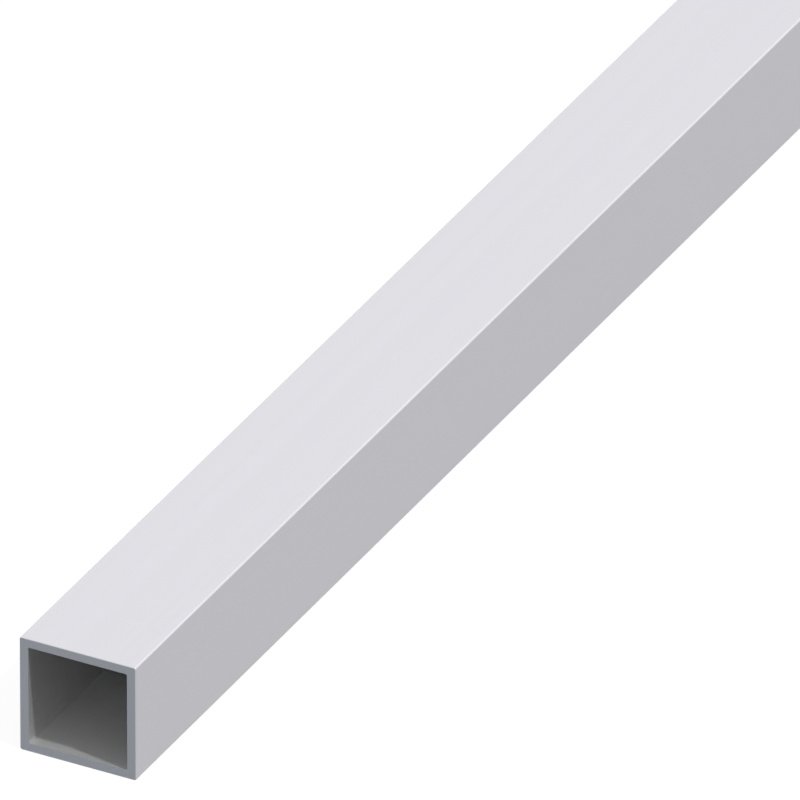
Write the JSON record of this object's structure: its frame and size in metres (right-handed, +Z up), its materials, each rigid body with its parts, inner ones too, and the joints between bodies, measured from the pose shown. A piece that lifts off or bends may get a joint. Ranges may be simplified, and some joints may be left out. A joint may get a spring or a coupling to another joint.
{
  "type": "square metal tube",
  "caption": "Straight square metal tube, open right through, with an even wall, slightly rounded long corners and square-sawn ends.",
  "frame": {"origin": "middle of the underside, halfway along the tube", "axes": "+Y along the tube towards its back end, +Z up out of its top side, +X out of its right side"},
  "size_m": [0.02, 1, 0.02],
  "materials": {
    "aluminium": "satin"
  },
  "bodies": {
    "root": {"square_tube": "aluminium"}
  },
  "joints": []
}
